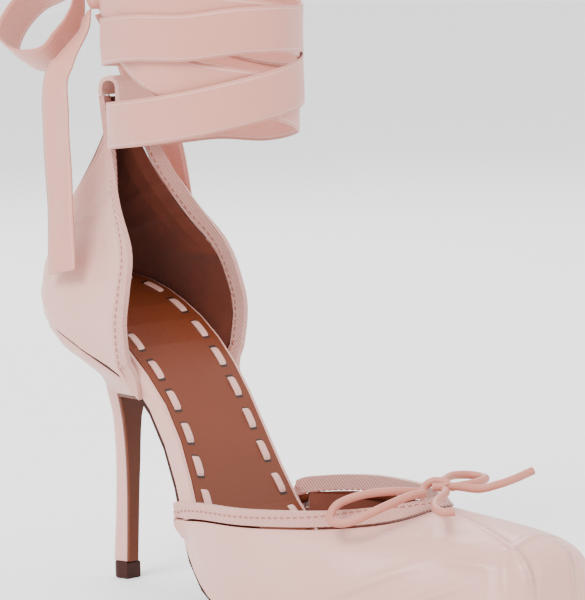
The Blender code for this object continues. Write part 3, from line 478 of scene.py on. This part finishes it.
def band(name, line, outs, widths, finish, wave=0.0, thick=RIBBON_THICK, ribs=8):
    """A closed flat strip along a line, in metres, facing outs, with its own map of width and run."""
    tangent = np.gradient(line, axis=0)
    run = np.concatenate([[0], np.cumsum(np.linalg.norm(np.diff(line, axis=0), axis=1))])
    verts, faces, spots = [], [], []
    for k, (point, t, out, width) in enumerate(zip(line, tangent, outs, widths)):
        across = unit(np.cross(unit(t), out))
        face = unit(np.cross(across, unit(t)))
        for side in (1, -1):
            for j in range(ribs + 1):
                share = (2 * j / ribs - 1) * side
                short_wave = math.sin(run[k] * 210 + share * 1.7) * 0.6
                long_wave = math.sin(run[k] * 97 - share * 2.6)
                bend = wave * (short_wave + long_wave)
                verts.append(point + across * width / 2 * share + face * (side * thick / 2 + bend))
                spots.append(((share + 1) / 2, run[k]))
    ring = 2 * ribs + 2
    for k in range(len(line) - 1):
        for j in range(ring):
            n = (j + 1) % ring
            faces.append((k * ring + j, k * ring + ring + j, k * ring + ring + n, k * ring + n))
    faces += [tuple(range(ring)), tuple(range(len(verts) - 1, len(verts) - ring - 1, -1))]
    mesh = bpy.data.meshes.new(name)
    mesh.from_pydata([tuple(v) for v in verts], [], faces)
    layer = mesh.uv_layers.new(name="UVMap")
    for loop in mesh.loops:
        layer.data[loop.index].uv = spots[loop.vertex_index]
    volume = sum(f.center.dot(f.normal) * f.area for f in mesh.polygons)
    if volume < 0:
        mesh.flip_normals()
    mesh.materials.append(finish.made)
    for f in mesh.polygons:
        f.use_smooth = True
    made = bpy.data.objects.new(name, mesh)
    bpy.context.collection.objects.link(made)
    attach(made, "root")
    return made


places = []
for angle, height, layer in TURNS:
    a = math.radians(angle)
    places.append([ANKLE_MIDDLE + (ANKLE_LENGTH / 2 + layer / 1000) * math.cos(a),
                   (ANKLE_WIDTH / 2 + layer / 1000) * math.sin(a), height * TAB_TOP / 1000])
line = along_path(places, 400)
outs = [unit([(p[0] - ANKLE_MIDDLE) / ANKLE_LENGTH ** 2, p[1] / ANKLE_WIDTH ** 2, 0.0]) for p in line]
turns = band("ribbon_turns", line, outs, [RIBBON_WIDTH] * len(line), ribbon_finish, wave=0.00012)
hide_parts("ankle_ribbon")

# The ribbon's knot: the ribbon crossed over itself and pulled tight behind the ankle, with soft
# gathers round it. Its place and its half sizes are in mm.
KNOT_AT = (-2.9, 0.0, 207.5)
KNOT_HALF = (4.5, 5.5, 5.7)
KNOT_ROUND = 40
KNOT_ROWS = 25
rings = []
for share in np.linspace(-1, 1, KNOT_ROWS):
    size = math.sqrt(1 - 0.55 * share * share)
    for k in range(KNOT_ROUND):
        a = 2 * math.pi * k / KNOT_ROUND
        gather = size * (1 + 0.05 * math.sin(7 * a + 3 * share) * (1 - abs(share) * 0.5))
        rings.append((KNOT_AT[0] + KNOT_HALF[0] * gather * math.cos(a), KNOT_HALF[1] * gather * math.sin(a),
                      KNOT_AT[2] + KNOT_HALF[2] * share))
last_row = (KNOT_ROWS - 1) * KNOT_ROUND
faces = [tuple(range(KNOT_ROUND - 1, -1, -1)), tuple(range(last_row, last_row + KNOT_ROUND))]
for low in range(0, last_row, KNOT_ROUND):
    for k in range(KNOT_ROUND):
        n = (k + 1) % KNOT_ROUND
        faces.append((low + k, low + n, low + KNOT_ROUND + n, low + KNOT_ROUND + k))
mesh = bpy.data.meshes.new("ribbon_knot_wrap")
mesh.from_pydata([tuple(c / 1000 for c in v) for v in rings], [], faces)
for f in mesh.polygons:
    f.use_smooth = True
mesh.materials.append(ribbon_finish.made)
knot = bpy.data.objects.new("ribbon_knot_wrap", mesh)
bpy.context.collection.objects.link(knot)
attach(knot, "root")
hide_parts("ribbon_knot")

# The ribbon's bow: two loops and two hanging ends of the same ribbon, each pinched where it enters
# the knot. The routes start from the knot's middle and are in mm, with the loops' tilt across them.
LOOP_OUTER = ((-6.2, -4.8, 3), (-13, -3.3, 1.7), (-24.7, -7, -1.2), (-30.2, -12.9, -9.1),
              (-29.7, -17.6, -17.4), (-20.5, -17.5, -22.9), (-10.8, -13.9, -22), (-8, -8.5, -14),
              (-7, -5.4, -7), (-6.4, -4.6, -2))
LOOP_INNER = ((-3.6, 4.9, 3), (-6, 16, 8), (-8, 29, 8), (-9, 40, -2), (-8.6, 42, -13), (-7.4, 34, -20),
              (-6, 22, -15), (-3.8, 4.9, -2.6))
END_OUTER = ((-1.5, -5.4, -7.2), (1, -10, -13), (0.5, -18, -22), (-1.3, -21.5, -30), (-0.6, -22.5, -46),
             (1.5, -24, -66), (4, -26.5, -83), (6, -28.3, -96))
END_INNER = ((-3, 3.4, -7.2), (-1, 10, -18), (4, 15, -34), (9, 19, -52), (10, 23, -72), (9, 28, -96))
LOOP_TILT = (0.21, -0.84, 0.49)
for node, route, side in (("ribbon_outer_loop", LOOP_OUTER, -1), ("ribbon_inner_loop", LOOP_INNER, 1),
                          ("ribbon_outer_end", END_OUTER, -1), ("ribbon_inner_end", END_INNER, 1)):
    line = along_path([[(k + q) / 1000 for k, q in zip(KNOT_AT, p)] for p in route], 90)
    share = np.linspace(0, 1, 90)
    if "loop" in node:
        share = 2 * np.minimum(share, 1 - share)
        tilt = np.array(LOOP_TILT) * (1, -side, 1)
        outs = [unit(np.cross(tilt, unit(t))) for t in np.gradient(line, axis=0)]
    else:
        outs = [np.array([-0.15, side, 0.0]) for _ in line]
    widths = RIBBON_WIDTH * (0.4 + 0.6 * np.clip(share / 0.4, 0, 1))
    made = band(node + "_strip", line, outs, widths, ribbon_finish, wave=0.0002)
    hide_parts(node)

# The leather bow: a thin round leather lace tied at the middle of the vamp's topline. Each route
# starts from the bow's seat and is in mm, with its count of points and what its far end is.
bow_leather = Surface("bow_pink", (0.42, 0.14, 0.095), 0.45)
bow_leather.tint(bow_leather.noise(140.0, 3.0) * 0.7, (0.50, 0.20, 0.145))
bow_leather.bump(bow_leather.noise(900.0, 2.0), 0.0001)
BOW_CORD = 2.8
BOW_SEAT = (149.33, 0.0, 43.39)
BOW_ROUTES = {
    "vamp_bow_knot": (((-2, -4, -0.4), (-3, -1, 1.6), (-1, 1, 3.0), (3, 2, 2.8), (5, 1, 1.4)), 40, None),
    "vamp_bow_outer_loop": (
        ((-1.5, -6.0, 0.3), (-7, -14, 1.0), (-13, -22, 0.2), (-17, -29, -2.5), (-14, -35, -6.5),
         (-7, -33, -6.5), (-1, -24, -2.4), (2, -15, 0.2), (2.5, -8, 0.4)), 64, "object"),
    "vamp_bow_inner_loop": (
        ((-2.4, 3.6, 2.0), (-5, 10, 1.8), (-7, 17, 2.4), (-4, 23, 2.0), (2, 23, 1.4), (4, 16, 1.0),
         (3, 9, 0.8), (2, 6, 0.6)), 58, "object"),
    "vamp_bow_outer_end": (
        ((1.0, 2.0, 1.2), (6.6, -1.8, 0.4), (10, -9, -0.6), (13, -14, -1.2), (17, -18, -2.4),
         (21, -19, -2.8), (24, -17, -2.6)), 46, "bare"),
    "vamp_bow_inner_end": (
        ((0.5, -1.5, 1.4), (6.4, 3.2, 1.6), (12, 8, 0.6), (16, 12, 1.6), (19, 18, 3.2), (21, 25, 5.2)),
        40, "bare"),
}
for node, (route, count, far_end) in BOW_ROUTES.items():
    line = along_path([[(a + b) / 1000 for a, b in zip(BOW_SEAT, p)] for p in route], count)
    data = bpy.data.curves.new(node + "_lace", "CURVE")
    data.dimensions = "3D"
    data.bevel_depth = BOW_CORD / 2000
    data.bevel_resolution = 6
    data.use_fill_caps = True
    data.materials.append(bow_leather.made)
    spline = data.splines.new("POLY")
    spline.points.add(count - 1)
    for spot, place in zip(spline.points, line):
        spot.co = (*place, 1)
    spline.use_smooth = True
    made = bpy.data.objects.new(node + "_lace", data)
    bpy.context.collection.objects.link(made)
    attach(made, "root")
    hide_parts(node)

# The bindings' stitches: one row of deep pink thread through each binding, about 4 mm inside the
# topline, seen on both faces. The tables hold the toplines as shares of the shoe's sizes in mm, and
# the quarter's fourth number is the turn of its edge in degrees.
SHOE_BACK = -16.4
FOOTBED_LENGTH = 216.0
BALL_WIDTH = 66.0
THROAT_HEIGHT = 41.0
QUARTER_REACH = 54.5
STITCH_INSET = 0.004
STITCH_SEEK = 0.004
STITCH_PITCH = 0.0024
STITCH_LENGTH = 0.0016
STITCH_WIDTH = 0.0005
STITCH_RISE = 0.0002
THROAT_STARTS = 113.0
THROAT_HALF = 20.0
THROAT_SHARES = (
    (0.351, -0.487, 0.873), (0.389, -0.525, 0.902), (0.435, -0.552, 0.920), (0.524, -0.565, 0.920),
    (0.620, -0.500, 0.934), (0.690, -0.358, 0.948), (0.738, -0.200, 0.968), (0.755, -0.090, 0.985),
    (0.758, 0.000, 0.990), (0.752, 0.090, 0.990), (0.722, 0.225, 0.982), (0.662, 0.368, 0.975),
    (0.561, 0.485, 0.972), (0.486, 0.520, 0.966), (0.402, 0.490, 0.934), (0.345, 0.440, 0.875),
)
HEEL_SHARES = (
    (0.896, 0.371, 0.444, 0.0), (0.895, 0.417, 0.473, 0.0), (0.923, 0.450, 0.549, 2.0),
    (0.934, 0.426, 0.610, 5.0), (0.895, 0.361, 0.694, 12.0), (0.694, 0.283, 0.783, 32.0),
    (0.495, 0.186, 0.902, 60.0), (0.431, 0.169, 1.000, 70.0),
)
THROAT_EDGE = [(SHOE_BACK + x * FOOTBED_LENGTH, y * BALL_WIDTH, z * THROAT_HEIGHT)
               for x, y, z in THROAT_SHARES]
HEEL_EDGE = [(SHOE_BACK + x * QUARTER_REACH, y * BALL_WIDTH, z * TAB_TOP) for x, y, z, _ in HEEL_SHARES]
HEEL_EDGE_TURNS = [math.radians(turn) for _, _, _, turn in HEEL_SHARES]


def between(values, share):
    """The unit direction part of the way through a list of directions."""
    known = np.linspace(0, 1, len(values))
    return unit([np.interp(share, known, [v[j] for v in values]) for j in range(3)])


def stitch_line(node, points, ways, outs):
    """The stitches' places, facings and ways inward on a binding, from its topline's points in mm."""
    mesh = nodes[node].data
    tree = BVHTree.FromPolygons([v.co.copy() for v in mesh.vertices],
                                [tuple(p.vertices) for p in mesh.polygons])
    line = along_path(np.array(points) / 1000, 90)
    places, facings, inward = [], [], []
    for point, share in zip(line, np.linspace(0, 1, len(line))):
        way = between(ways, share)
        out = between(outs, share)
        spot, facing, _, _ = tree.find_nearest(Vector(point + way * STITCH_INSET + out * STITCH_SEEK))
        if facing.dot(Vector(out)) > 0.3:
            places.append(spot)
            facings.append(facing)
            inward.append(way)
    return places, facings, inward


def sew(node, face, places, facings):
    single = arch(node + "_stitch", STITCH_LENGTH, STITCH_WIDTH, STITCH_RISE, thread)
    row_of(f"{node}_stitches_{face}", single, places, facings, STITCH_PITCH)


thread = Surface("thread_pink", DEEP_PINK, 0.6)
FACES = (("outside", 1), ("inside", -1))
throat_ways, throat_outs = [], []
for x, y, z in THROAT_EDGE:
    throat = math.exp(-(y / THROAT_HALF) ** 2) * (x > THROAT_STARTS)
    throat_ways.append((0.9 * throat, 0.2 * np.sign(y) * (1 - throat), -1 + 0.58 * throat))
    throat_outs.append((0.2 * throat, np.sign(y) * (1 - throat), 0.35 + throat))
for face, flip in FACES:
    outs = [tuple(flip * v for v in out) for out in throat_outs]
    places, facings, inward = stitch_line("vamp_binding", THROAT_EDGE, throat_ways, outs)
    sew("vamp_binding", face, places, facings)
throat_seam = (places, facings, inward)
for node, side in (("quarter_binding_outer", -1), ("quarter_binding_inner", 1)):
    ways = [(-math.cos(t), -side * math.sin(t), 0.0) for t in HEEL_EDGE_TURNS]
    for face, flip in FACES:
        outs = [(-flip * math.sin(t), flip * side * math.cos(t), 0.0) for t in HEEL_EDGE_TURNS]
        places, facings, inward = stitch_line(node, [(x, side * y, z) for x, y, z in HEEL_EDGE], ways, outs)
        sew(node, face, places, facings)

# The vamp's lining tape: a narrow brown suede tape glued behind the topline, over the edge of the
# binding. It closes the seam between the binding and the lining.
TAPE_WIDTH = 0.0028
TAPE_THICK = 0.0004
TAPE_PAST_STITCH = 0.0019
TAPE_STEPS = 200
tape_suede = Surface("tape_suede", SUEDE, 0.85, specular=0.15)
places, facings, inward = throat_seam
tape_line = along_path([p + Vector(w) * TAPE_PAST_STITCH + f * TAPE_THICK
                        for p, f, w in zip(places, facings, inward)], TAPE_STEPS)
tape_outs = [between(facings, k / (TAPE_STEPS - 1)) for k in range(TAPE_STEPS)]
band("vamp_lining_tape", tape_line, tape_outs, [TAPE_WIDTH] * TAPE_STEPS, tape_suede,
     thick=TAPE_THICK, ribs=2)
